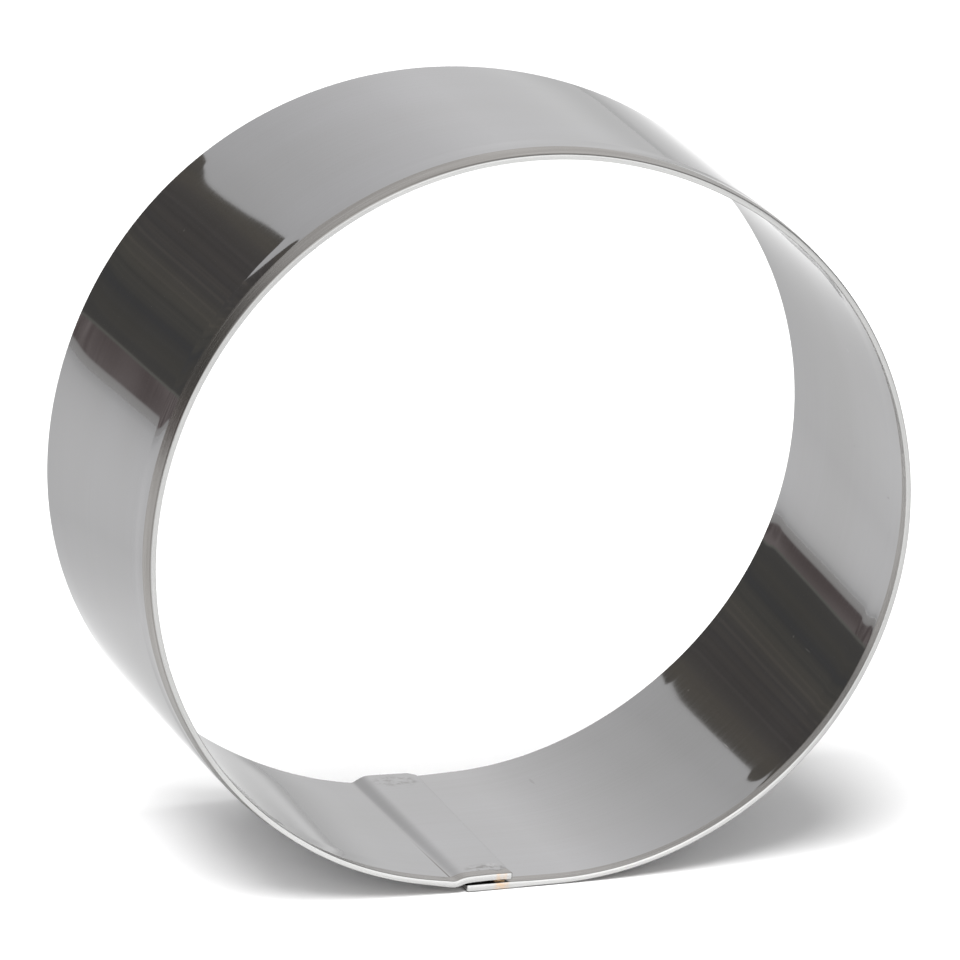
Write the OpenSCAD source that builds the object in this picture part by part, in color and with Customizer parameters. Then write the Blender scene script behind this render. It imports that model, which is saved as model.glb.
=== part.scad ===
// Plain round pastry cutter: one strip of sheet rolled into a ring, its inner
// end set over its outer end and spot welded. Millimetres.
// The ring stands on the flat of its lap. Its axis is along Y, the dressed rim
// faces -Y, Z is up, and z = 0 is the surface that it stands on.

/* [Ring] */

// Nominal diameter of the ring
ring_d = 100; // [80:10:120]
// Height of the ring along its own axis
ring_h = 40; // [30:1:60]
// Thickness of the sheet
sheet_t = 0.8; // [0.6:0.1:1.0]

/* [Rims] */

// Width of the strip that leans in along the dressed rim
lip_w = 4.8; // [3:0.2:8]
// How far the dressed rim leans in
lip_lean = 0.3; // [0.1:0.05:0.6]
// Broken corner of the dressed rim
lip_break = 0.2; // [0.1:0.05:0.25]
// Broken corner of the plain rim
rim_break = 0.15; // [0.1:0.05:0.25]

/* [Lap] */

// Length of the inner ply over the outer one
tongue_l = 5.8; // [5:0.1:8]
// Gap between the plies at the joggle
gap_in = 0.4; // [0.3:0.05:0.6]
// Gap between the plies at the inner ply's end
gap_end = 0.15; // [0.1:0.05:0.25]
// Inner ply's start, from the outer ply's end
tongue_x = 0.7; // [0.1:0.1:0.8]
// Cut corner at the inner ply's end
corner_cut = 1; // [0.5:0.1:1.5]

/* [Welds] */

// Diameter of each weld nugget
weld_d = 2.4; // [2:0.1:3]
// Nugget centre, back from the inner ply's end
weld_back = 1.8; // [1.6:0.1:2.5]
// Nugget centre, in from each rim
weld_in = 3; // [2.5:0.1:5]
// Nugget depth in each ply
weld_deep = 0.4; // [0.3:0.05:0.45]

/* [Hidden] */

steel = [0.66, 0.66, 0.67];
nugget = [0.52, 0.50, 0.47];

half_h = ring_h / 2;
half_t = sheet_t / 2;

// Length of the flat where the outer ply lies on the table
flat_l = 0.118 * ring_d;

// Heading of the strip where the joggle starts
end_head = 352;

// The rolled ring isn't quite round, so it is ten arcs, each with its radius as
// a share of the nominal radius. The strip turns from one arc to the next where
// its heading is one of these. Each has a short exact sine and cosine, so
// neighbouring arcs meet on exactly the same plane.
arc_k = [0.945, 0.92, 0.94, 1, 1.11, 1.02, 0.935, 0.995, 0.935, 1.02];
heads = [[1, 0], [0.8, 0.6], [0.28, 0.96], [-0.28, 0.96], [-0.8, 0.6],
         [-1, 0], [-0.8, -0.6], [-0.28, -0.96], [0.28, -0.96], [0.8, -0.6],
         [cos(end_head), sin(end_head)]];
arcs = len(arc_k);

function rad(i) = arc_k[i] * ring_d / 2;
function out(i) = [heads[i][1], -heads[i][0]];
// Centre of each arc, as [x, z] from the outer ply's end
function hub(i) = i == 0
    ? [flat_l, half_t + rad(0)]
    : hub(i - 1) + (rad(i - 1) - rad(i)) * out(i);

// The outer ply's end goes where the ring's width is centred on x = 0. The
// third arc holds the rightmost point and the eighth the leftmost.
flat_x = -round((hub(2)[0] + rad(2) + hub(7)[0] - rad(7)) * 50) / 100;
function mid(i) = hub(i) + [flat_x, 0];

// The joggle: the ramp runs from the end of the last arc to the inner ply.
ramp_a = mid(arcs - 1) + rad(arcs - 1) * out(arcs);
ramp_b = [flat_x + tongue_x, sheet_t + gap_in + half_t];
tongue_a = -asin((gap_in - gap_end) / tongue_l);
tip = ramp_b + tongue_l * [cos(tongue_a), sin(tongue_a)];
// How far the plates of a bend run on into each other
run_on = 0.15 * sheet_t;

weld_x = tip[0] - weld_back;
weld_lo = sheet_t - weld_deep;
weld_hi = sheet_t + gap_end + (weld_back / tongue_l) * (gap_in - gap_end) + weld_deep;

// The strip's section: outward is +X, the dressed rim is +Y. With less above 0
// every side lies that much further in, so where two plates cross in a bend, no
// two of their edges run through one point.
module section(less = 0) {
    t = half_t - less;
    h = half_h - less;
    b = lip_lean * (lip_w - lip_break) / lip_w;
    polygon([
        [-t + rim_break, -h],
        [t - rim_break, -h],
        [t, -h + rim_break],
        [t, h - lip_w],
        [t - b, h - lip_break],
        [t - lip_lean - lip_break, h],
        [-t - lip_lean + lip_break, h],
        [-t - b, h - lip_break],
        [-t, h - lip_w],
        [-t, -h + rim_break]
    ]);
}

// Arc i: a whole ring, of which the wedge between its two headings stays.
module bow(i, more = 0) {
    n1 = out(i);
    n2 = more == 0 ? out(i + 1) : [sin(end_head + more), -cos(end_head + more)];
    far = 2 * ring_d;
    translate([mid(i)[0], 0, mid(i)[1]])
        rotate([90, 0, 0])
            intersection() {
                rotate_extrude($fn = 240) translate([rad(i), 0]) section();
                translate([0, 0, -ring_h])
                    linear_extrude(height = 2 * ring_h)
                        polygon([[0, 0], far * n1, far * (n1 + n2), far * n2]);
            }
}

// A flat length of strip from a to b, each end run on by the length given.
module plate(a, b, on_a = 0, on_b = 0, less = 0) {
    l = sqrt(pow(b[0] - a[0], 2) + pow(b[1] - a[1], 2));
    translate([a[0], 0, a[1]])
        rotate([90, 0, 0])
            rotate([0, 0, atan2(b[1] - a[1], b[0] - a[0]) - 90])
                translate([0, l + on_b, 0])
                    rotate([90, 0, 0])
                        linear_extrude(height = l + on_a + on_b) section(less);
}

module weld_posts() {
    for (y = [-half_h + weld_in, half_h - weld_in])
        translate([weld_x, y, weld_lo])
            cylinder(h = weld_hi - weld_lo, d = weld_d, $fn = 48);
}

module cutter_band() {
    color(steel)
        difference() {
            union() {
                plate([flat_x, half_t], [flat_x + flat_l, half_t]);
                for (i = [0 : arcs - 2]) bow(i);
                bow(arcs - 1, run_on / rad(arcs - 1) * 180 / PI);
                plate(ramp_a, ramp_b, run_on, run_on, 0.02);
                plate(ramp_b, tip, run_on * 0.7);
            }
            weld_posts();
            // the cut corner at the plain rim, clear of the outer ply
            translate([tip[0], half_h, sheet_t + gap_end / 2])
                rotate([0, 0, 45])
                    translate([-corner_cut * sqrt(2) / 2, -corner_cut * 2, 0])
                        cube([corner_cut * sqrt(2), corner_cut * 4, sheet_t * 2]);
        }
}

module spot_welds() {
    color(nugget) weld_posts();
}

cutter_band();
spot_welds();
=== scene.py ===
import math
import bpy
import numpy as np
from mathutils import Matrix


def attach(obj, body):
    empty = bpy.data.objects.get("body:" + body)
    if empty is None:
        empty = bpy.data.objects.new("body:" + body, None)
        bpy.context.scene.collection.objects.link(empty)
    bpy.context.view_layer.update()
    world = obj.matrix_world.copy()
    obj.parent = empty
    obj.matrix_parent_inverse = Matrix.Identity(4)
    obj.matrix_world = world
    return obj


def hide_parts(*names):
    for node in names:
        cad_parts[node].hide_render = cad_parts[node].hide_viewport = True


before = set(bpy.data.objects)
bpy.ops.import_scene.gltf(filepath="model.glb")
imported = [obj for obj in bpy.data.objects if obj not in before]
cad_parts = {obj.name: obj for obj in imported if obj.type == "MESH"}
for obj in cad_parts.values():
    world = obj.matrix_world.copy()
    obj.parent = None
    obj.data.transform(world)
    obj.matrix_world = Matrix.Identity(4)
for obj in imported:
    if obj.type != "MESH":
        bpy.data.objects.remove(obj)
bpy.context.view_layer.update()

# Everything below is worked out in millimetres and scaled to metres at the end.
SCALE = 0.995            # keeps the visual strip inside the CAD model's box
LIFT = 0.07              # mm; puts the lowest point of the strip on the table
ASIDE = 0.03             # mm; centres the ring's width on the frame
MM = 0.001 * SCALE

T = 0.8                  # sheet
HALF = 20.0              # half the ring's height


def to_m(x, y, z):
    return ((x + ASIDE) * MM, y * MM, (z + LIFT) * MM)


# ---------------------------------------------------------------- camera
AZ, EL, ROLL = math.radians(-21.5630), math.radians(18.38274), math.radians(2.66010)
DIST, FOCAL = 1600.0, 12572.556
TARGET = (-0.24146, 0.0, 48.11424)

back = np.array([math.sin(AZ) * math.cos(EL), -math.cos(AZ) * math.cos(EL), math.sin(EL)])
right = np.array([math.cos(AZ), math.sin(AZ), 0.0])
up = np.cross(back, right)
cam_r = right * math.cos(ROLL) + up * math.sin(ROLL)
cam_u = up * math.cos(ROLL) - right * math.sin(ROLL)

cam_data = bpy.data.cameras.new("camera")
cam = bpy.data.objects.new("camera", cam_data)
bpy.context.scene.collection.objects.link(cam)
cam_data.sensor_fit = "HORIZONTAL"
cam_data.sensor_width = 36.0
cam_data.lens = FOCAL * 36.0 / 960.0
cam_data.clip_start = 0.05
cam_data.clip_end = 200.0
from mathutils import Matrix
loc = np.array(TARGET) + back * DIST
lx, ly, lz = to_m(*loc)
cam.matrix_world = Matrix((
    (cam_r[0], cam_u[0], back[0], lx),
    (cam_r[1], cam_u[1], back[1], ly),
    (cam_r[2], cam_u[2], back[2], lz),
    (0, 0, 0, 1)))
bpy.context.scene.camera = cam


# ---------------------------------------------------------------- node helpers
def new_mat(name):
    m = bpy.data.materials.new(name)
    m.use_nodes = True
    nt = m.node_tree
    nt.nodes.clear()
    out = nt.nodes.new("ShaderNodeOutputMaterial")
    return m, nt, out


def ramp(nt, src, stops, interp="LINEAR"):
    n = nt.nodes.new("ShaderNodeValToRGB")
    n.color_ramp.interpolation = interp
    els = n.color_ramp.elements
    while len(els) < len(stops):
        els.new(0.5)
    for e, (p, c) in zip(els, stops):
        e.position = p
        if not hasattr(c, "__len__"):
            c = (c, c, c)
        e.color = (c[0], c[1], c[2], 1.0)
    nt.links.new(src, n.inputs[0])
    return n.outputs[0]


def math_node(nt, op, a, b=None, c=None, clamp=False):
    n = nt.nodes.new("ShaderNodeMath")
    n.operation = op
    n.use_clamp = clamp
    for i, v in enumerate((a, b, c)):
        if v is None:
            continue
        if isinstance(v, (int, float)):
            n.inputs[i].default_value = v
        else:
            nt.links.new(v, n.inputs[i])
    return n.outputs[0]


def mix_rgb(nt, fac, a, b, kind="MIX"):
    n = nt.nodes.new("ShaderNodeMix")
    n.data_type = "RGBA"
    n.blend_type = kind
    for sock, v in ((n.inputs[0], fac), (n.inputs[6], a), (n.inputs[7], b)):
        if isinstance(v, (int, float)):
            sock.default_value = v
        elif isinstance(v, tuple):
            sock.default_value = (v[0], v[1], v[2], 1.0)
        else:
            nt.links.new(v, sock)
    return n.outputs[2]


def map_range(nt, src, a, b, c, d, smooth=False):
    n = nt.nodes.new("ShaderNodeMapRange")
    if smooth:
        n.interpolation_type = "SMOOTHSTEP"
    nt.links.new(src, n.inputs[0])
    for i, v in enumerate((a, b, c, d)):
        n.inputs[i + 1].default_value = v
    return n.outputs[0]


def noise(nt, vec, scale, detail=3.0, rough=0.5, dist=0.0):
    n = nt.nodes.new("ShaderNodeTexNoise")
    n.inputs["Scale"].default_value = scale
    n.inputs["Detail"].default_value = detail
    n.inputs["Roughness"].default_value = rough
    n.inputs["Distortion"].default_value = dist
    nt.links.new(vec, n.inputs["Vector"])
    return n.outputs["Fac"]


UV_U, UV_V = 340.0, 90.0      # mm that a whole UV square stands for


def strip_coords(nt):
    """The strip's own coordinates in mm: along it, and round its section."""
    uv = nt.nodes.new("ShaderNodeUVMap")
    uv.uv_map = "strip"
    sep = nt.nodes.new("ShaderNodeSeparateXYZ")
    nt.links.new(uv.outputs[0], sep.inputs[0])
    s = math_node(nt, "MULTIPLY", sep.outputs[0], UV_U)
    v = math_node(nt, "MULTIPLY", sep.outputs[1], UV_V)
    return s, v


def stretched(nt, s, v, ks, kv, shift=0.0):
    c = nt.nodes.new("ShaderNodeCombineXYZ")
    nt.links.new(math_node(nt, "MULTIPLY", s, ks), c.inputs[0])
    nt.links.new(math_node(nt, "MULTIPLY", v, kv), c.inputs[1])
    c.inputs[2].default_value = shift
    return c.outputs[0]


def principled(nt, out, metallic=1.0):
    p = nt.nodes.new("ShaderNodeBsdfPrincipled")
    p.inputs["Metallic"].default_value = metallic
    nt.links.new(p.outputs[0], out.inputs[0])
    return p


def bump(nt, p, height, strength, distance):
    b = nt.nodes.new("ShaderNodeBump")
    b.inputs["Strength"].default_value = strength
    b.inputs["Distance"].default_value = distance
    nt.links.new(height, b.inputs["Height"])
    nt.links.new(b.outputs[0], p.inputs["Normal"])


# ---------------------------------------------------------------- materials
def across(nt, v, inner):
    """y in mm across the strip, on its inner or its outer face."""
    if inner:
        return math_node(nt, "SUBTRACT", V_IN, v)
    return math_node(nt, "SUBTRACT", v, V_OUT)


def spot(nt, s, y, s0, y0, rs, ry, soft=0.5):
    """1 inside an ellipse on the strip, 0 outside it."""
    a = math_node(nt, "POWER", math_node(nt, "DIVIDE", math_node(nt, "SUBTRACT", s, s0), rs), 2.0)
    b = math_node(nt, "POWER", math_node(nt, "DIVIDE", math_node(nt, "SUBTRACT", y, y0), ry), 2.0)
    d = math_node(nt, "SQRT", math_node(nt, "ADD", a, b))
    return map_range(nt, d, 1.0 - soft, 1.0, 1.0, 0.0, True)


def stroke(nt, q, at, half_w):
    """1 on a thin line q = at, falling to 0 at half_w."""
    d = math_node(nt, "ABSOLUTE", math_node(nt, "SUBTRACT", q, at))
    return map_range(nt, d, half_w * 0.35, half_w, 1.0, 0.0, True)


def polished_wall():
    m, nt, out = new_mat("polished_wall")
    p = principled(nt, out)
    s, v = strip_coords(nt)
    fine = noise(nt, stretched(nt, s, v, 0.03, 2.2), 1.0, 4.0, 0.6)
    broad = noise(nt, stretched(nt, s, v, 0.02, 0.06, 3.0), 1.0, 2.0, 0.5)
    both = math_node(nt, "ADD", math_node(nt, "MULTIPLY", fine, 0.4), math_node(nt, "MULTIPLY", broad, 0.6))
    col = ramp(nt, both, [(0.30, (0.327, 0.325, 0.325)), (0.50, (0.339, 0.337, 0.340)), (0.70, (0.350, 0.349, 0.355))])
    # painted shade along the crease, and smudges and heat tint, at the lap on the inner face
    y = across(nt, v, True)
    yo = across(nt, v, False)
    inner = map_range(nt, v, V_MID - 0.5, V_MID + 0.5, 0.0, 1.0)
    outer = math_node(nt, "SUBTRACT", 1.0, inner)
    blotch = noise(nt, stretched(nt, s, v, 0.9, 0.9, 9.0), 1.0, 4.0, 0.65, 0.4)
    # painted light: the outer face is made 8% lighter than the inner face of the same steel
    col = mix_rgb(nt, outer, col, mix_rgb(nt, 1.0, col, (1.08, 1.08, 1.085), "MULTIPLY"))
    patchy = map_range(nt, blotch, 0.42, 0.62, 0.0, 1.0, True)
    # painted shade: a dark line along the crease at the lap, strongest towards the near rim
    nearer = map_range(nt, y, -2.0, -18.5, 0.10, 1.0, True)
    crease_shade = math_node(nt, "MULTIPLY", stroke(nt, s, JOIN + 2.62, 0.17), nearer)
    crease_shade = math_node(nt, "MULTIPLY", crease_shade, 0.72)
    soot = math_node(nt, "MULTIPLY", math_node(nt, "MULTIPLY", patchy, 0.42), spot(nt, s, y, END_S - 2.9, -17.6, 4.2, 2.6, 0.6))
    soot2 = math_node(nt, "MULTIPLY", math_node(nt, "MULTIPLY", patchy, 0.28), spot(nt, s, y, END_S - 3.4, 17.2, 3.6, 2.4, 0.6))
    marks_and_crease_shade = math_node(nt, "MAXIMUM", crease_shade, math_node(nt, "MAXIMUM", soot, soot2))
    marks_and_crease_shade = math_node(nt, "MULTIPLY", marks_and_crease_shade, inner)
    # specks and short scratches
    for s0, y0, rs, ry, amt, side in SPECKS:
        one = spot(nt, s, y if side else yo, s0, y0, rs, ry, 0.6)
        one = math_node(nt, "MULTIPLY", math_node(nt, "MULTIPLY", one, abs(amt)), inner if side else outer)
        if amt > 0:
            col = mix_rgb(nt, one, col, (0.80, 0.80, 0.80))
        else:
            marks_and_crease_shade = math_node(nt, "MAXIMUM", marks_and_crease_shade, one)
    col = mix_rgb(nt, marks_and_crease_shade, col, (0.085, 0.075, 0.062))
    nt.links.new(col, p.inputs["Base Color"])
    rough = map_range(nt, fine, 0.3, 0.75, 0.035, 0.065)
    rough = math_node(nt, "ADD", rough, math_node(nt, "MULTIPLY", math_node(nt, "MAXIMUM", soot, soot2), 0.5))
    nt.links.new(rough, p.inputs["Roughness"])
    p.inputs["Specular Tint"].default_value = (0.55, 0.55, 0.55, 1.0)
    return m


def ground_lip():
    m, nt, out = new_mat("ground_lip")
    p = principled(nt, out)
    s, v = strip_coords(nt)
    fine = noise(nt, stretched(nt, s, v, 0.05, 7.0), 1.0, 5.0, 0.65)
    broad = noise(nt, stretched(nt, s, v, 0.06, 0.9, 5.0), 1.0, 2.0, 0.5)
    both = math_node(nt, "ADD", math_node(nt, "MULTIPLY", fine, 0.6), math_node(nt, "MULTIPLY", broad, 0.4))
    col = ramp(nt, both, [(0.30, (0.225, 0.214, 0.204)), (0.50, (0.290, 0.279, 0.268)), (0.70, (0.355, 0.346, 0.338))])
    inner = map_range(nt, v, V_MID - 0.5, V_MID + 0.5, 0.0, 1.0)
    # painted shade: a dark line on the outer face next to the near face
    outer_corner_shade = map_range(nt, across(nt, v, False), -19.75, -19.45, 0.40, 0.0, True)
    outer_corner_shade = math_node(nt, "MULTIPLY", outer_corner_shade, math_node(nt, "SUBTRACT", 1.0, inner))
    col = mix_rgb(nt, outer_corner_shade, col, (0.06, 0.056, 0.052))
    nt.links.new(col, p.inputs["Base Color"])
    nt.links.new(map_range(nt, fine, 0.3, 0.75, 0.20, 0.30), p.inputs["Roughness"])
    p.inputs["Specular Tint"].default_value = (0.55, 0.55, 0.55, 1.0)
    bump(nt, p, fine, 0.10, 0.00003)
    return m


def dressed_edge():
    m, nt, out = new_mat("dressed_edge")
    p = principled(nt, out)
    s, v = strip_coords(nt)
    fine = noise(nt, stretched(nt, s, v, 0.25, 6.0), 1.0, 4.0, 0.6)
    broad = noise(nt, stretched(nt, s, v, 0.05, 0.3, 2.0), 1.0, 2.0, 0.5)
    both = math_node(nt, "ADD", math_node(nt, "MULTIPLY", fine, 0.4), math_node(nt, "MULTIPLY", broad, 0.6))
    col = ramp(nt, both, [(0.30, (0.43, 0.43, 0.425)), (0.60, (0.49, 0.49, 0.485))])
    # painted shade: the face is darker on the right and the left of the ring, lighter at the bottom and the upper left
    painted_edge_shade = ramp(nt, math_node(nt, "DIVIDE", s, 340.0), [(0.09, 1.0), (0.16, 0.76), (0.38, 0.76), (0.46, 0.86), (0.54, 0.86),
                                                       (0.60, 0.74), (0.78, 0.74), (0.86, 0.96)])
    col = mix_rgb(nt, 1.0, col, painted_edge_shade, "MULTIPLY")
    from_out = math_node(nt, "SUBTRACT", v, 1.0)
    from_in = math_node(nt, "SUBTRACT", float(PERI[-1]) + 1.0, v)
    on_out = map_range(nt, v, 9.0, 10.0, 1.0, 0.0)
    # painted shade: dark lines along the face's outer corner, and along its inner corner on parts of the ring
    corner_shade_out = math_node(nt, "MULTIPLY", map_range(nt, from_out, 0.24, 0.38, 0.0, 0.42, True), on_out)
    where = ramp(nt, math_node(nt, "DIVIDE", s, 340.0), [(0.24, 0.0), (0.29, 0.45), (0.43, 0.45), (0.47, 0.0), (0.82, 0.0), (0.85, 0.45), (0.905, 0.45), (0.92, 0.0)])
    corner_shade_in = math_node(nt, "MULTIPLY", map_range(nt, from_in, 0.26, 0.38, 0.0, 1.0, True), where)
    corner_shade_in = math_node(nt, "MULTIPLY", corner_shade_in, math_node(nt, "SUBTRACT", 1.0, on_out))
    col = mix_rgb(nt, math_node(nt, "MAXIMUM", corner_shade_out, corner_shade_in), col, (0.07, 0.066, 0.062))
    burn = noise(nt, stretched(nt, s, v, 1.3, 1.3, 4.0), 1.0, 3.0, 0.6)
    heat = math_node(nt, "MAXIMUM", stroke(nt, s, 5.1, 1.3), stroke(nt, s, END_S - 1.75, 1.1))
    heat = math_node(nt, "MULTIPLY", heat, map_range(nt, burn, 0.35, 0.60, 0.12, 0.62, True))
    col = mix_rgb(nt, heat, col, (0.58, 0.37, 0.19))
    nt.links.new(col, p.inputs["Base Color"])
    nt.links.new(map_range(nt, fine, 0.3, 0.75, 0.23, 0.31), p.inputs["Roughness"])
    bump(nt, p, fine, 0.10, 0.00003)
    return m


def sheared_edge():
    m, nt, out = new_mat("sheared_edge")
    p = principled(nt, out)
    s, v = strip_coords(nt)
    fine = noise(nt, stretched(nt, s, v, 3.0, 3.0), 1.0, 4.0, 0.6)
    col = ramp(nt, fine, [(0.30, (0.40, 0.39, 0.38)), (0.70, (0.60, 0.59, 0.58))])
    nt.links.new(col, p.inputs["Base Color"])
    nt.links.new(map_range(nt, fine, 0.3, 0.75, 0.22, 0.36), p.inputs["Roughness"])
    bump(nt, p, fine, 0.2, 0.00005)
    return m


# ---------------------------------------------------------------- the strip's two outlines
RING = 313.0                       # strip length up to the joggle, mm
FLAT, LEAD = 12.009, 3.0           # flat start, and the length over which it starts to curve
START_X = -7.723
NEAR = (-0.0917, 0.0849, [44.13, 44.75, 46.03, 50.8, 49.0, 58.43, 49.32, 47.83, 49.29, 48.1, 45.88, 48.09])
FAR = (1.8445, -0.0629, [44.05, 51.85, 42.98, 48.74, 48.16, 61.44, 51.18, 45.4, 50.71, 45.17, 52.51, 54.19])


def outline(th0, z0, radii, n=2800):
    kap = 1.0 / np.array(radii)
    s = np.linspace(0, RING, n)
    knots = np.concatenate([[0, FLAT, FLAT + LEAD], np.linspace(FLAT + LEAD, RING, len(kap))[1:]])
    vals = np.concatenate([[0, 0, kap[0]], kap[1:]])
    sm = (s[:-1] + s[1:]) / 2
    k = np.interp(sm, knots, vals)
    ds = s[1] - s[0]
    th = math.radians(th0) + np.concatenate([[0], np.cumsum(k * ds)])
    tm = (th[:-1] + th[1:]) / 2
    x = START_X + np.concatenate([[0], np.cumsum(ds * np.cos(tm))])
    z = z0 + T / 2 + np.concatenate([[0], np.cumsum(ds * np.sin(tm))])
    return s, x, z


# Middle of the sheet through the joggle and along the tongue, [x, z] in mm.
# Matching rows are matching places at the near and the far rim.
LAP_NEAR = [(-11.32, 1.580), (-10.30, 1.400), (-9.60, 1.275), (-9.15, 1.215), (-8.80, 1.215), (-8.45, 1.290),
            (-8.10, 1.410), (-7.75, 1.535), (-7.35, 1.620), (-6.90, 1.660), (-6.20, 1.685), (-5.20, 1.710),
            (-4.07, 1.730), (-2.60, 1.710), (-1.15, 1.665)]
LAP_FAR = [(-11.30, 0.965), (-10.00, 0.710), (-9.20, 0.550), (-8.60, 0.455), (-8.20, 0.440), (-7.85, 0.545),
           (-7.45, 0.780), (-7.05, 1.020), (-6.65, 1.190), (-6.25, 1.250), (-5.60, 1.255), (-4.60, 1.230),
           (-3.20, 1.200), (-1.40, 1.170), (0.45, 1.140)]
JOIN = 310.2                       # strip length at the first of those rows
LAP_T = JOIN + np.array([0, 1.15, 1.9, 2.42, 2.8, 3.18, 3.6, 4.02, 4.45, 4.88, 5.55, 6.55, 7.85, 9.45, 11.2])


def smooth_line(t, p, sigma, ts):
    """Interpolate p(t) at ts, rounded over about sigma mm."""
    fine = np.arange(t[0], t[-1], 0.02)
    q = np.interp(fine, t, p)
    r = int(4 * sigma / 0.02)
    k = np.exp(-0.5 * (np.arange(-r, r + 1) * 0.02 / sigma) ** 2)
    k /= k.sum()
    pad = np.concatenate([2 * q[0] - q[1:r + 1][::-1], q, 2 * q[-1] - q[-r - 1:-1][::-1]])
    return np.interp(ts, fine, np.convolve(pad, k, "valid"))


def build_line(side, lap, ts):
    s, x, z = outline(*side)
    keep = s <= JOIN - 1.2
    t = np.concatenate([s[keep], LAP_T])
    xx = np.concatenate([x[keep], [p[0] for p in lap]])
    zz = np.concatenate([z[keep], [p[1] for p in lap]])
    return smooth_line(t, xx, 0.22, ts), smooth_line(t, zz, 0.22, ts)


S0 = 0.43                          # strip starts here, where its lowered end is seen
S1 = LAP_T[-1] - 0.02
steps = []
s = S0
while s < S1:
    steps.append(s)
    if s < S0 + 0.5:
        s += 0.07
    elif s < 14:
        s += 0.4
    elif s < JOIN - 2:
        s += 0.55
    elif s < JOIN + 5.6:
        s += 0.13
    elif s < S1 - 0.6:
        s += 0.22
    else:
        s += 0.07
steps.append(S1)
ST = np.array(steps)
NX, NZ = build_line(NEAR, LAP_NEAR, ST)
FX, FZ = build_line(FAR, LAP_FAR, ST)

# ---------------------------------------------------------------- section
# Pairs of points, from the near rim to the far one: (y, share of half the sheet).
R_FAR = 0.14
CROWN = 17.0                                            # slope of the near face at its corners, degrees
R_NEAR = 0.11

sec_y = []
sec_k = []
flat = T / 2 - R_NEAR * (1 - math.sin(math.radians(CROWN)))
bow = flat / math.sin(math.radians(CROWN))
for k in (0.04, 0.25, 0.5, 0.75):                       # crowned face
    x = flat * k
    sec_y.append(-HALF + bow - math.sqrt(bow ** 2 - x ** 2))
    sec_k.append(x / (T / 2))
sag = bow * (1 - math.cos(math.radians(CROWN)))
for a in (CROWN, 30, 43, 56, 70, 84):                   # rounded near corners
    c, q = math.cos(math.radians(a)), math.sin(math.radians(a))
    sec_y.append(-HALF + sag + R_NEAR * (math.cos(math.radians(CROWN)) - c))
    sec_k.append((T / 2 - R_NEAR * (1 - q)) / (T / 2))
for y in (-19.84, -19.76, -19.66, -19.4, -19.0, -18.6, -18.25, -18.05, -17.85, -17.6, -17.4, -17.25, -17.1, -16.9, -16.6,
          -16.3, -16.0, -15.7, -15.4, -15.1, -14.85, -14.6, -14.46, -14.34, -14.1, -13.85, -13.6, -13.3, -12.8, -12.0, -10,
          -8, -6, -4, -2, 0, 2, 4, 6, 8, 10, 12, 13, 14, 14.7, 15.3,
          15.8, 16.1, 16.4, 16.7, 17.0, 17.3, 17.6, 17.9, 18.2, 18.6, 19.0, 19.4, 19.70, 19.82):
    sec_y.append(y)
    sec_k.append(1.0)
for a in (0, 22.5, 45, 67.5, 90):                       # rounded far edge
    c, q = math.sin(math.radians(a)), math.cos(math.radians(a))
    sec_y.append(HALF - R_FAR * (1 - c))
    sec_k.append((T / 2 - R_FAR * (1 - q)) / (T / 2))
SY = np.array(sec_y)
SK = np.array(sec_k)
NP = len(SY)


def from_slopes(pts, sigma, ys):
    """Integrate a table of slopes (y, slope), each change rounded over about sigma; 0 at the wall."""
    fine = np.arange(-24.0, 24.0, 0.02)
    q = np.interp(fine, [p[0] for p in pts], [p[1] for p in pts])
    r = int(4 * sigma / 0.02)
    k = np.exp(-0.5 * (np.arange(-r, r + 1) * 0.02 / sigma) ** 2)
    q = np.convolve(np.pad(q, r, "edge"), k / k.sum(), "valid")
    acc = np.concatenate([[0], np.cumsum((q[1:] + q[:-1]) * 0.01)])
    acc -= np.interp(0.0, fine, acc)
    return np.interp(ys, fine, acc)


# The dressed rim leans in. Its outside is ground up to y = -17.25 and rolled up to
# the crease at -14.4; its inside is ground up to -17.95. Slopes against the wall:
ROLL_OUT = [(-24.0, 0.16), (-19.74, 0.16), (-19.72, 0.0), (-17.30, 0.0), (-17.22, -0.028), (-16.5, -0.014), (-16.15, 0.004),
            (-15.8, 0.026), (-15.0, 0.050), (-14.42, 0.060), (-14.40, 0.0), (24.0, 0.0)]
ROLL_IN = [(-24.0, 0.0), (-18.0, 0.0), (-17.9, 0.006), (-17.2, 0.0), (-16.9, -0.004), (-16.4, 0.008), (-15.5, 0.016),
           (-14.5, 0.018), (-13.9, 0.012), (-13.5, 0.0), (24.0, 0.0)]
GROUND_OUT = [(-24.0, 1.0), (-17.31, 1.0), (-17.23, 0.0), (24.0, 0.0)]
GROUND_IN = [(-24.0, 1.0), (-18.01, 1.0), (-17.93, 0.0), (24.0, 0.0)]
# How far the rim lies inward of the plain outline, by the angle round the ring
RIM_SHIFT = [(-180, 0), (-110, 0), (-76, 0.0), (-68, 0.12), (-59, 0.22), (-44, 0.12), (-29, 0.05), (-15, 0.0), (0, 0.0),
             (15, 0.05), (30, 0.12), (46, 0.18), (58, 0.10), (71, 0.02), (85, 0.0), (180, 0)]
# The wall isn't quite straight across the strip: slopes at the upper left, at the
# lower right and elsewhere
WALL_UL = [(-24.0, -0.012), (-14.6, -0.012), (-8, -0.006), (0, 0.003), (6, 0.009), (12, 0.012), (14, 0.009), (16, 0.001), (18, -0.008), (20, -0.014)]
WALL_LR = [(-24.0, 0.002), (-14.6, 0.002), (-8, -0.001), (0, -0.005), (8, -0.009), (12, -0.012), (16, -0.018), (20, -0.026)]
WALL_UR = [(-24.0, 0.001), (13.0, 0.001), (20.0, -0.004)]
WALL_ELSE = [(-24.0, -0.004), (13.0, -0.004), (20.0, -0.028)]


def bell(x, c, w):
    return np.exp(-((x - c) / w) ** 2)


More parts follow.
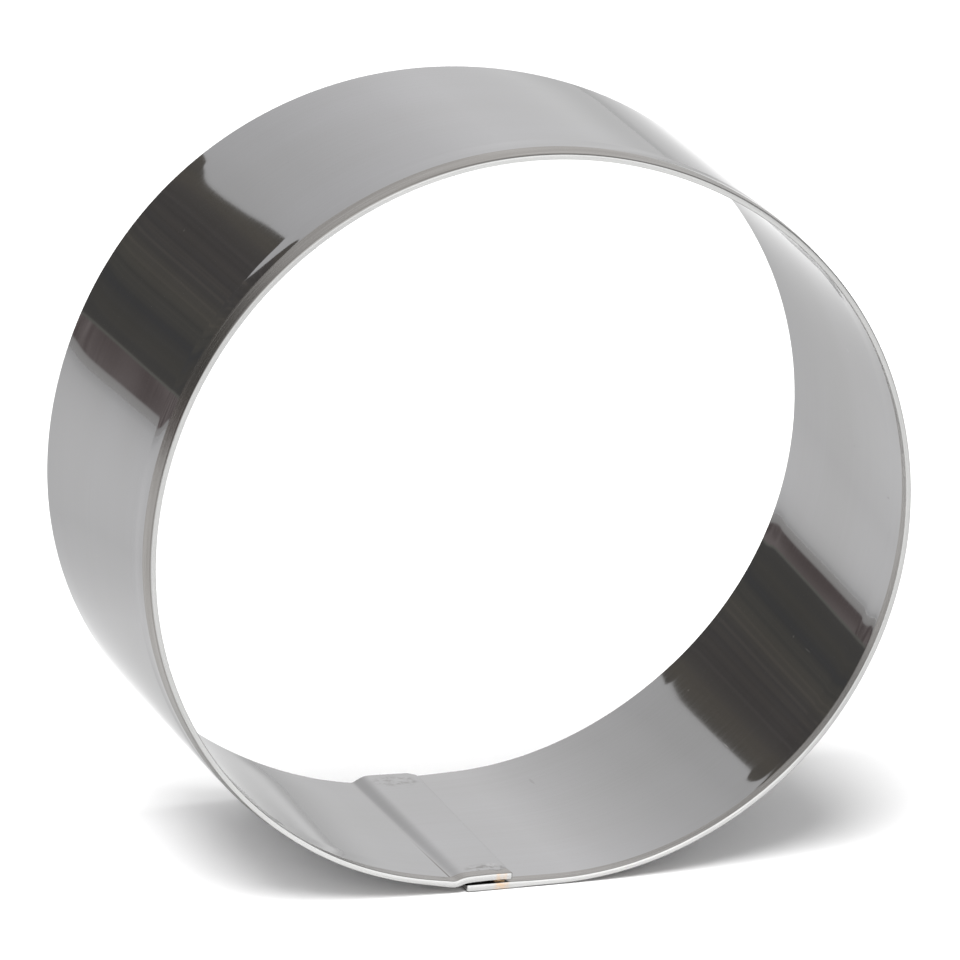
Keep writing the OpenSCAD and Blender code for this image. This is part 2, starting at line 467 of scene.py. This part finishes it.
def wave(s, y):
    """The sheet's slight unevenness, mm along its normal."""
    w = (0.0022 * np.sin(s / 3.9 + 0.9 * np.sin(y / 5.1)) * np.sin(y / 4.6 + 1.1 + s / 31.0)
         + 0.0030 * np.sin(s / 7.3 + 2.0 + 0.11 * y)
         + 0.0060 * np.sin(s / 17.0 + 0.7))
    for at, tilt, reach in ((43.0, -0.014, 6.0), (68.0, 0.004, 5.0), (202.0, -0.012, 6.0)):
        w = w + tilt * (s - at) * np.exp(-((s - at) / reach) ** 2)
    return w - 0.030 * (s - 67.5) * np.exp(-((s - 67.5) / 4.0) ** 2) * np.clip((y - 15.5) / 4.0, 0, 1) ** 2


WELDS = [(-17.0,), (17.0,)]
END_S = S1
WELD_S = [LAP_T[-1] - 1.75, LAP_T[-1] - 2.2]

# Length round the section, from the middle of the near face over the outer side
RUN = np.concatenate([[0], np.cumsum(np.hypot(np.diff(SY), np.diff(SK) * T / 2))])
PERI = np.concatenate([RUN, RUN[-1] + T / 2 + (RUN[-1] - RUN[::-1])])
V_OUT = 1.0 + float(np.interp(0.0, SY, RUN))
V_IN = 1.0 + float(RUN[-1] + T / 2 + RUN[-1] - np.interp(0.0, SY, RUN))
V_MID = 1.0 + float(RUN[-1] + T / 4)
# s, y, half sizes, strength (light or dark), inner face or not
SPECKS = [(60.2, -4.6, 0.10, 1.1, 0.45, True), (60.3, 0.4, 0.22, 0.22, 0.55, True), (45.8, 12.2, 0.16, 0.2, 0.5, True),
          (43.9, -4.5, 0.08, 1.2, 0.35, True), (207.2, 7.6, 0.2, 0.2, 0.4, False), (84.6, -13.2, 0.10, 0.45, -0.5, True),
          (102.0, -4.0, 0.4, 0.12, 0.3, True), (21.5, 12.0, 0.25, 1.3, -0.12, True), (87.5, -1.0, 0.2, 0.2, -0.25, True)]


def surface():
    n = len(ST)
    yy = np.repeat(SY[None, :], n, 0)
    # cut corner and softened corners at the tongue's end, softened start corners
    d_end = np.hypot(0, S1 - ST)
    lim_far = np.where(d_end < 1.0, HALF - (1.0 - d_end), HALF)
    lim_near = np.where(d_end < 0.3, HALF - 0.3 * (1 - np.sqrt(np.clip(1 - (1 - d_end / 0.3) ** 2, 0, 1))), HALF)
    d_st = ST - S0
    lim_st = np.where(d_st < 0.3, 0.3 * (1 - np.sqrt(np.clip(1 - (1 - d_st / 0.3) ** 2, 0, 1))), 0.0)
    lim_far = lim_far - lim_st
    lim_near = lim_near - lim_st
    far_part = yy > 14
    yy = np.where(far_part, 14 + (yy - 14) * (lim_far[:, None] - 14) / 6.0, yy)
    near_part = yy < -19.0
    yy = np.where(near_part, -19.0 + (yy + 19.0) * (lim_near[:, None] - 19.0) / 1.0, yy)

    w = (yy + HALF) / (2 * HALF)
    mx = NX[:, None] * (1 - w) + FX[:, None] * w
    mz = NZ[:, None] * (1 - w) + FZ[:, None] * w
    dx = np.gradient(mx, axis=0)
    dz = np.gradient(mz, axis=0)
    ln = np.hypot(dx, dz)
    nx, nz = dz / ln, -dx / ln

    # the rim leans in; less so on the pressed lap
    on_lap = np.clip((20.0 - ST) / 15.0, 0, 1) + np.clip((ST - (JOIN - 22.0)) / 18.0, 0, 1)
    on_lap = on_lap ** 2 * (3 - 2 * on_lap)
    amt = 1 - 0.55 * on_lap
    phi = np.degrees(np.arctan2(NZ - 48.0, NX))

    def soften(q):
        return np.convolve(np.pad(q, 12, "edge"), np.ones(25) / 25, "valid")

    pull = soften(np.interp(phi, [p[0] for p in RIM_SHIFT], [p[1] for p in RIM_SHIFT])) * (1 - on_lap)
    turn = phi % 360.0
    ul = soften(np.interp(turn, [85, 115, 190, 220], [0, 1, 1, 0]))
    lr = soften(np.interp(turn, [0, 30, 285, 300, 360], [1, 0, 0, 1, 1]))
    ur = soften(np.interp(turn, [22, 38, 60, 76], [0, 1, 1, 0])) * (1 - lr)
    els = 1 - ul - lr - ur
    wall = np.zeros_like(yy)
    crest = np.zeros_like(ST)
    for share, tab, far in ((ul, WALL_UL, 0.08), (lr, WALL_LR, 0.0), (ur, WALL_UR, 0.0), (els, WALL_ELSE, 0.0)):
        end = from_slopes(tab, 0.5, np.array([20.0]))[0] - far
        wall += share[:, None] * (from_slopes(tab, 0.5, yy) - end)
        crest += share * (from_slopes(tab, 0.5, np.array([-14.7]))[0] - end)
    rim = -pull - 0.07 * ul
    grind = (crest + 0.02 - rim) / 2.45 * amt
    low = from_slopes(ROLL_OUT, 0.04, np.array([-19.7]))[0]
    lean_o = from_slopes(ROLL_OUT, 0.04, yy) * amt[:, None] + from_slopes(GROUND_OUT, 0.04, yy) * grind[:, None]
    lean_i = from_slopes(ROLL_IN, 0.12, yy) * amt[:, None] + from_slopes(GROUND_IN, 0.05, yy) * grind[:, None] * 1.22
    # on the lap the rim keeps to the plain outline
    drop = (from_slopes(GROUND_OUT, 0.04, np.array([-19.7]))[0] * grind + low * amt + crest)
    shift = wall - (drop * on_lap)[:, None] * np.clip((HALF - yy) / (2 * HALF), 0, 1)
    shift = shift + wave(ST[:, None], yy) * np.clip((19.9 - np.abs(yy)) / 3.0, 0, 1) * (1 - on_lap[:, None] * 0.6)

    half = np.full_like(yy, T / 2)
    # the sheet is a little thicker where its rim was hammered at the lap
    lap = np.clip((9.0 - ST) / 2.0, 0, 1) + np.clip((ST - (JOIN - 1.0)) / 2.0, 0, 1)
    half = half * (1 + 0.14 * lap[:, None] * np.clip((-17.8 - yy) / 1.2, 0, 1))
    # rounded ends of the strip
    for d, r in ((d_st, 0.24), (d_end, 0.16)):
        e = np.clip(1 - d / r, 0, 1)
        half *= (1 - 0.42 * (1 - np.sqrt(np.clip(1 - e ** 2, 0, 1))))[:, None]
    # electrode marks, on the tongue's upper face
    mark = np.zeros_like(yy)
    for (wy,), ws in zip(WELDS, WELD_S):
        rr = np.hypot(ST[:, None] - ws, yy - wy)
        mark += 0.085 * (1 / (1 + np.exp((rr - 1.15) / 0.10))) - 0.03 * bell(rr, 1.42, 0.22)
    # the far corner of the tongue is pressed thinner
    thin = 0.05 * np.clip((ST[:, None] - (S1 - 4.5)) / 4.5, 0, 1) * np.clip((yy - 12) / 8.0, 0, 1)

    k = SK[None, :]
    mid = shift + (lean_o + lean_i) / 2
    reach = half + (lean_o - lean_i) / 2
    o = mid + reach * k
    inn = mid - reach * k + mark + thin
    ox, oz = mx + nx * o, mz + nz * o
    ix, iz = mx + nx * inn, mz + nz * inn
    return ox, oz, ix, iz, yy


def make_strip():
    ox, oz, ix, iz, yy = surface()
    n = len(ST)
    oz = np.maximum(oz, -LIFT)
    per = 2 * NP
    xs = np.concatenate([ox, ix[:, ::-1]], 1)
    zs = np.concatenate([oz, iz[:, ::-1]], 1)
    ys = np.concatenate([yy, yy[:, ::-1]], 1)
    co = np.stack([(xs + ASIDE) * MM, ys * MM, (zs + LIFT) * MM], -1).reshape(-1, 3)

    i = np.arange(n - 1)[:, None]
    j = np.arange(per)[None, :]
    jn = (j + 1) % per
    a = i * per + j
    b = i * per + jn
    c = (i + 1) * per + jn
    d = (i + 1) * per + j
    quads = np.stack(np.broadcast_arrays(a, b, c, d), -1).reshape(-1, 4)
    # ends
    q = np.arange(NP - 1)
    cap0 = np.stack([q, per - 1 - q, per - 2 - q, q + 1], -1)
    o2 = (n - 1) * per
    cap1 = np.stack([o2 + q, o2 + q + 1, o2 + per - 2 - q, o2 + per - 1 - q], -1)
    faces = np.concatenate([quads, cap0, cap1])

    me = bpy.data.meshes.new("strip")
    me.vertices.add(len(co))
    me.vertices.foreach_set("co", co.astype(np.float32).ravel())
    me.loops.add(faces.size)
    me.loops.foreach_set("vertex_index", faces.ravel().astype(np.int32))
    me.polygons.add(len(faces))
    me.polygons.foreach_set("loop_start", np.arange(0, faces.size, 4, dtype=np.int32))
    me.polygons.foreach_set("loop_total", np.full(len(faces), 4, dtype=np.int32))

    # UVs: along the strip, and round the section
    vtx = PERI + 1.0
    vv = np.tile(vtx / UV_V, n)
    uu = np.repeat(ST / UV_U, per)
    uv = np.stack([uu, vv], -1)
    luv = uv[faces.ravel()].reshape(-1, 4, 2)
    # the last quad of each ring closes the loop over the near edge
    wrap = np.zeros(len(faces), bool)
    wrap[:quads.shape[0]] = (np.broadcast_to(j, a.shape) == per - 1).reshape(-1)
    luv[wrap, 1, 1] = (PERI[-1] + 1.0 + 0.03) / UV_V
    luv[wrap, 2, 1] = (PERI[-1] + 1.0 + 0.03) / UV_V
    lay = me.uv_layers.new(name="strip")
    lay.data.foreach_set("uv", luv.ravel().astype(np.float32))

    # material of each part of the section
    # 0 wall, 1 ground lip, 2 dressed edge, 3 sheared edge
    zone = np.zeros(per, int)
    for jj in range(per):
        p0 = jj
        p1 = (jj + 1) % per
        y0 = SY[p0] if p0 < NP else SY[per - 1 - p0]
        y1 = SY[p1] if p1 < NP else SY[per - 1 - p1]
        ym = (y0 + y1) / 2
        if ym < -HALF + sag + R_NEAR * 0.5:
            zone[jj] = 2
        elif ym < (-17.22 if jj < NP else -17.95):
            zone[jj] = 1
        elif ym > HALF - R_FAR * 1.02:
            zone[jj] = 3
    mi = np.concatenate([np.tile(zone, n - 1), np.full(2 * (NP - 1), 3)])
    me.polygons.foreach_set("material_index", mi.astype(np.int32))
    me.polygons.foreach_set("use_smooth", np.ones(len(faces), bool))
    me.update(calc_edges=True)
    me.validate()
    ob = bpy.data.objects.new("steel_strip", me)
    bpy.context.scene.collection.objects.link(ob)
    for mm in (polished_wall(), ground_lip(), dressed_edge(), sheared_edge()):
        me.materials.append(mm)
    return ob, (ox, oz, ix, iz, yy)


strip, surf = make_strip()
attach(strip, "root")
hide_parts("cutter_band")


# ---------------------------------------------------------------- weld nuggets
def weld_steel():
    m, nt, out = new_mat("weld_steel")
    p = principled(nt, out)
    tc = nt.nodes.new("ShaderNodeTexCoord")
    grain = noise(nt, tc.outputs["Object"], 2500.0, 4.0, 0.6)
    col = ramp(nt, grain, [(0.35, (0.24, 0.15, 0.08)), (0.55, (0.44, 0.28, 0.15)), (0.75, (0.55, 0.45, 0.34))])
    nt.links.new(col, p.inputs["Base Color"])
    nt.links.new(map_range(nt, grain, 0.3, 0.7, 0.28, 0.5), p.inputs["Roughness"])
    bump(nt, p, grain, 0.3, 0.00008)
    return m


def make_nuggets():
    """Two lens-shaped nuggets that join the plies, slightly uneven round their waist."""
    ox, oz, ix, iz, yy = surf
    verts, faces = [], []
    seg = 40
    for k, ((wy,), ws) in enumerate(zip(WELDS, WELD_S)):
        i = int(np.argmin(abs(ST - ws)))
        j = int(np.argmin(abs(SY - wy)))
        cx = (ox[i, j] + ix[i, j]) / 2
        lo = 0.42 + (0.1 if k == 0 else 0.0)
        gap_lo = oz[i, j]
        hi = (oz[i, j] + iz[i, j]) / 2
        prof = []
        for q in range(13):
            f = q / 12.0
            z = lo + (hi - lo) * f
            r = 1.2 * math.sqrt(max(0.0, 1 - abs(2 * f - 1) ** 3.2)) * 0.98 + 0.02
            near_gap = math.exp(-((z - gap_lo) / 0.12) ** 2)
            prof.append((z, r * (1 + 0.05 * near_gap)))
        base = len(verts)
        for z, r in prof:
            for a in range(seg):
                th = 2 * math.pi * a / seg
                rr = r * (1 + 0.025 * math.sin(3 * th + k) + 0.015 * math.sin(7 * th + 2 * k))
                verts.append(to_m(cx + rr * math.cos(th), wy + rr * math.sin(th), z))
        for q in range(len(prof) - 1):
            for a in range(seg):
                b = (a + 1) % seg
                faces.append((base + q * seg + a, base + q * seg + b, base + (q + 1) * seg + b, base + (q + 1) * seg + a))
        verts.append(to_m(cx, wy, lo - 0.02))
        verts.append(to_m(cx, wy, hi + 0.02))
        c0, c1 = len(verts) - 2, len(verts) - 1
        for a in range(seg):
            b = (a + 1) % seg
            faces.append((c0, base + b, base + a))
            top = base + (len(prof) - 1) * seg
            faces.append((c1, top + a, top + b))
    # metal pressed out of the near weld, between the plies and up to the rim
    base = len(verts)
    rows_n, cols_n = 14, 28
    for q in range(1, rows_n):
        a = math.pi * q / rows_n
        for c in range(cols_n):
            b = 2 * math.pi * c / cols_n
            k = 1 + 0.10 * math.sin(3 * b + 2 * a) + 0.07 * math.sin(5 * b + 1.0)
            x = -2.75 + 0.95 * k * math.sin(a) * math.cos(b)
            y = -18.78 + 1.17 * k * math.sin(a) * math.sin(b)
            z = 1.11 + 0.21 * math.cos(a) + 0.012 * x * math.sin(a)
            verts.append(to_m(x, max(y, -19.93), z))
    for q in range(rows_n - 2):
        for c in range(cols_n):
            d = (c + 1) % cols_n
            faces.append((base + q * cols_n + c, base + (q + 1) * cols_n + c, base + (q + 1) * cols_n + d, base + q * cols_n + d))
    verts.append(to_m(-2.75, -18.78, 1.32))
    verts.append(to_m(-2.75, -18.78, 0.90))
    c0, c1 = len(verts) - 2, len(verts) - 1
    last = base + (rows_n - 2) * cols_n
    for c in range(cols_n):
        d = (c + 1) % cols_n
        faces.append((c0, base + c, base + d))
        faces.append((c1, last + d, last + c))
    me = bpy.data.meshes.new("weld_nuggets")
    me.from_pydata(verts, [], faces)
    me.polygons.foreach_set("use_smooth", np.ones(len(faces), bool))
    me.update()
    ob = bpy.data.objects.new("weld_nuggets", me)
    bpy.context.scene.collection.objects.link(ob)
    me.materials.append(weld_steel())
    return ob


nuggets = make_nuggets()
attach(nuggets, "root")
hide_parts("spot_welds")


# ---------------------------------------------------------------- stage
def floor_mat():
    m, nt, out = new_mat("white_floor")
    p = principled(nt, out, 0.0)
    tc = nt.nodes.new("ShaderNodeTexCoord")
    grain = noise(nt, tc.outputs["Object"], 3.0, 2.0, 0.5)
    p.inputs["Roughness"].default_value = 1.0
    p.inputs["Specular IOR Level"].default_value = 0.0
    # far from the ring the floor glows, so that it meets the backdrop without a step
    sep = nt.nodes.new("ShaderNodeSeparateXYZ")
    nt.links.new(tc.outputs["Object"], sep.inputs[0])
    r = math_node(nt, "SQRT", math_node(nt, "ADD", math_node(nt, "POWER", sep.outputs[0], 2.0), math_node(nt, "POWER", sep.outputs[1], 2.0)))
    glow = ramp(nt, math_node(nt, "DIVIDE", r, 2.6), [(0.24, 0.0), (0.48, 0.20), (0.95, 0.24)])
    glow = mix_rgb(nt, map_range(nt, sep.outputs[0], -0.25, 0.25, 0.12, 1.0, True), (0.0, 0.0, 0.0), glow)
    nt.links.new(glow, p.inputs["Emission Color"])
    # painted shade: the floor is dimmer towards the dark card, and round a second spot behind the ring at the left
    dx = math_node(nt, "ADD", sep.outputs[0], 0.45)
    dy = math_node(nt, "ADD", sep.outputs[1], -0.70)
    dd = math_node(nt, "SQRT", math_node(nt, "ADD", math_node(nt, "POWER", dx, 2.0), math_node(nt, "POWER", dy, 2.0)))
    near = ramp(nt, dd, [(0.10, 0.78), (0.22, 0.84), (0.48, 0.89), (0.68, 1.0)])
    # painted shade round a spot behind the ring at the left
    ex = math_node(nt, "ADD", sep.outputs[0], 0.20)
    ey = math_node(nt, "ADD", sep.outputs[1], -0.45)
    ee = math_node(nt, "SQRT", math_node(nt, "ADD", math_node(nt, "POWER", ex, 2.0), math_node(nt, "POWER", ey, 2.0)))
    near = mix_rgb(nt, 1.0, near, ramp(nt, ee, [(0.15, 0.90), (0.25, 0.87), (0.36, 0.84), (0.385, 0.90), (0.41, 1.0)]), "MULTIPLY")
    nt.links.new(mix_rgb(nt, 1.0, ramp(nt, grain, [(0.3, 0.945), (0.7, 0.955)]), near, "MULTIPLY"), p.inputs["Base Color"])
    p.inputs["Emission Strength"].default_value = 1.0
    return m


def disc(name, radius, mat, seg=96):
    me = bpy.data.meshes.new(name)
    pts = [(radius * math.cos(2 * math.pi * k / seg), radius * math.sin(2 * math.pi * k / seg), 0.0) for k in range(seg)]
    me.from_pydata(pts, [], [tuple(range(seg))])
    me.update()
    ob = bpy.data.objects.new(name, me)
    bpy.context.scene.collection.objects.link(ob)
    me.materials.append(mat)
    return ob


floor = disc("floor", 2.6, floor_mat())


def card_mat():
    m, nt, out = new_mat("dark_card")
    tc = nt.nodes.new("ShaderNodeTexCoord")
    sep = nt.nodes.new("ShaderNodeSeparateXYZ")
    nt.links.new(tc.outputs["Object"], sep.inputs[0])
    z = math_node(nt, "SUBTRACT", sep.outputs[2], 0.048)
    neg_x = math_node(nt, "MULTIPLY", sep.outputs[0], -1.0)
    ang = math_node(nt, "ARCTAN2", z, neg_x)              # 0 at the horizon on the left, 1.05 at the top edge
    comb = nt.nodes.new("ShaderNodeCombineXYZ")
    nt.links.new(math_node(nt, "MULTIPLY", ang, 34.0), comb.inputs[0])
    nt.links.new(math_node(nt, "MULTIPLY", sep.outputs[0], 3.0), comb.inputs[1])
    streak = noise(nt, comb.outputs[0], 1.0, 5.0, 0.6, 0.3)
    wide = noise(nt, comb.outputs[0], 0.22, 2.0, 0.5, 0.2)
    base = ramp(nt, math_node(nt, "MULTIPLY", ang, 0.8), [
        (0.0, (0.125, 0.123, 0.121)), (0.16, (0.110, 0.110, 0.110)), (0.33, (0.112, 0.113, 0.112)),
        (0.40, (0.137, 0.133, 0.126)), (0.50, (0.121, 0.117, 0.114)), (0.60, (0.116, 0.112, 0.114)),
        (0.70, (0.142, 0.134, 0.126)), (0.80, (0.165, 0.156, 0.142)), (0.88, (0.185, 0.176, 0.162))])
    zone = ramp(nt, math_node(nt, "MULTIPLY", ang, 0.8), [(0.24, 0.25), (0.36, 1.0), (0.62, 1.0), (0.72, 0.25)])
    lines = ramp(nt, streak, [(0.32, 0.80), (0.48, 1.0), (0.56, 1.0), (0.60, (1.36, 1.31, 1.24)), (0.64, 1.0), (0.74, (1.20, 1.14, 1.05))])
    lines = mix_rgb(nt, zone, (1.0, 1.0, 1.0), lines)
    soft = ramp(nt, wide, [(0.35, (0.92, 0.92, 0.94)), (0.65, (1.12, 1.08, 1.00))])
    dark = mix_rgb(nt, 1.0, mix_rgb(nt, 1.0, base, lines, "MULTIPLY"), soft, "MULTIPLY")
    # the reddish band along the foot of the card, with a thin light line over it
    cx = nt.nodes.new("ShaderNodeCombineXYZ")
    nt.links.new(math_node(nt, "MULTIPLY", sep.outputs[0], 150.0), cx.inputs[0])
    nt.links.new(math_node(nt, "MULTIPLY", sep.outputs[2], 9.0), cx.inputs[1])
    blocks = noise(nt, cx.outputs[0], 1.0, 2.0, 0.5)
    red = ramp(nt, blocks, [(0.36, (0.148, 0.121, 0.120)), (0.50, (0.238, 0.206, 0.202)), (0.64, (0.325, 0.285, 0.280))])
    tall = math_node(nt, "ADD", sep.outputs[2], math_node(nt, "MULTIPLY", neg_x, -0.36))
    band = map_range(nt, tall, -0.0515, -0.0535, 0.0, 1.0)
    light = map_range(nt, math_node(nt, "ABSOLUTE", math_node(nt, "SUBTRACT", tall, -0.0505)), 0.0015, 0.0035, 1.0, 0.0)
    c = mix_rgb(nt, band, dark, red)
    c = mix_rgb(nt, math_node(nt, "MULTIPLY", light, 0.75), c, (0.27, 0.27, 0.245))
    foot = map_range(nt, sep.outputs[2], 0.0275, 0.0245, 0.0, 1.0)
    c = mix_rgb(nt, foot, c, ramp(nt, math_node(nt, "MULTIPLY", sep.outputs[2], 30.0), [(0.25, (0.62, 0.61, 0.60)), (0.75, (0.52, 0.51, 0.50))]))
    em = nt.nodes.new("ShaderNodeEmission")
    em.inputs["Strength"].default_value = 1.22
    nt.links.new(c, em.inputs["Color"])
    nt.links.new(em.outputs[0], out.inputs[0])
    return m


CARD_Y = 650.0
CARD = [(-1600, 8), (-135, 8), (-135, 336), (-150, 345), (-185, 360), (-240, 367), (-1600, 367)]
me = bpy.data.meshes.new("dark_card")
me.from_pydata([to_m(x, CARD_Y, z) for x, z in CARD], [], [tuple(range(len(CARD)))])
me.materials.append(card_mat())
card = bpy.data.objects.new("dark_card", me)
bpy.context.scene.collection.objects.link(card)
card.visible_camera = False
card.visible_diffuse = False
card.visible_shadow = False
card.visible_transmission = False
card.visible_volume_scatter = False

# ---------------------------------------------------------------- light
world = bpy.data.worlds.new("studio")
bpy.context.scene.world = world
world.use_nodes = True
wt = world.node_tree
wt.nodes.clear()
wo = wt.nodes.new("ShaderNodeOutputWorld")
bg = wt.nodes.new("ShaderNodeBackground")
tc = wt.nodes.new("ShaderNodeTexCoord")
sp = wt.nodes.new("ShaderNodeSeparateXYZ")
wt.links.new(tc.outputs["Generated"], sp.inputs[0])
side = map_range(wt, sp.outputs[0], -0.5, 0.5, 0.0, 1.0)
far_side = ramp(wt, side, [(0.0, 0.90), (0.30, 0.975), (0.38, 1.06), (0.45, 1.11), (0.53, 1.21), (0.60, 1.31), (0.70, 1.48), (0.76, 1.63), (0.82, 1.76), (0.92, 1.80), (1.0, 1.80)])
low_side = ramp(wt, side, [(0.0, 0.85), (0.5, 1.08), (1.0, 1.34)])
height = map_range(wt, sp.outputs[2], -0.03, 0.12, 0.0, 1.0, True)
far_all = mix_rgb(wt, height, low_side, far_side)
front = ramp(wt, map_range(wt, sp.outputs[2], -0.2, 0.6, 0.0, 1.0), [(0.0, 1.0), (0.14, 1.15), (0.27, 2.3), (0.70, 2.3), (0.95, 1.5)])
blend = map_range(wt, sp.outputs[1], -0.15, 0.25, 0.0, 1.0, True)
col = mix_rgb(wt, blend, front, far_all)
# overhead, the light is at the left
top = map_range(wt, sp.outputs[2], 0.55, 0.75, 0.0, 1.0, True)
col = mix_rgb(wt, top, col, ramp(wt, side, [(0.30, 2.2), (0.55, 1.5), (0.72, 0.9), (0.95, 0.35)]))
right_side = map_range(wt, sp.outputs[0], 0.55, 0.70, 0.0, 0.85, True)
col = mix_rgb(wt, right_side, col, (0.30, 0.30, 0.30))
lp = wt.nodes.new("ShaderNodeLightPath")
dim = map_range(wt, lp.outputs["Is Diffuse Ray"], 0.0, 1.0, 1.0, 0.53)
wt.links.new(col, bg.inputs["Color"])
wt.links.new(dim, bg.inputs["Strength"])
wt.links.new(bg.outputs[0], wo.inputs[0])

area = bpy.data.lights.new("overhead", "AREA")
area.shape = "DISK"
area.size = 1.1
area.energy = 25.0
lamp = bpy.data.objects.new("overhead", area)
bpy.context.scene.collection.objects.link(lamp)
lamp.location = (-0.32, -0.34, 1.28)
lamp.rotation_euler = (math.radians(15.0), math.radians(-14.0), 0.0)
lamp.visible_glossy = False

sc = bpy.context.scene
sc.view_settings.view_transform = "Standard"
sc.view_settings.look = "None"
sc.view_settings.exposure = 0.0
sc.view_settings.gamma = 1.0
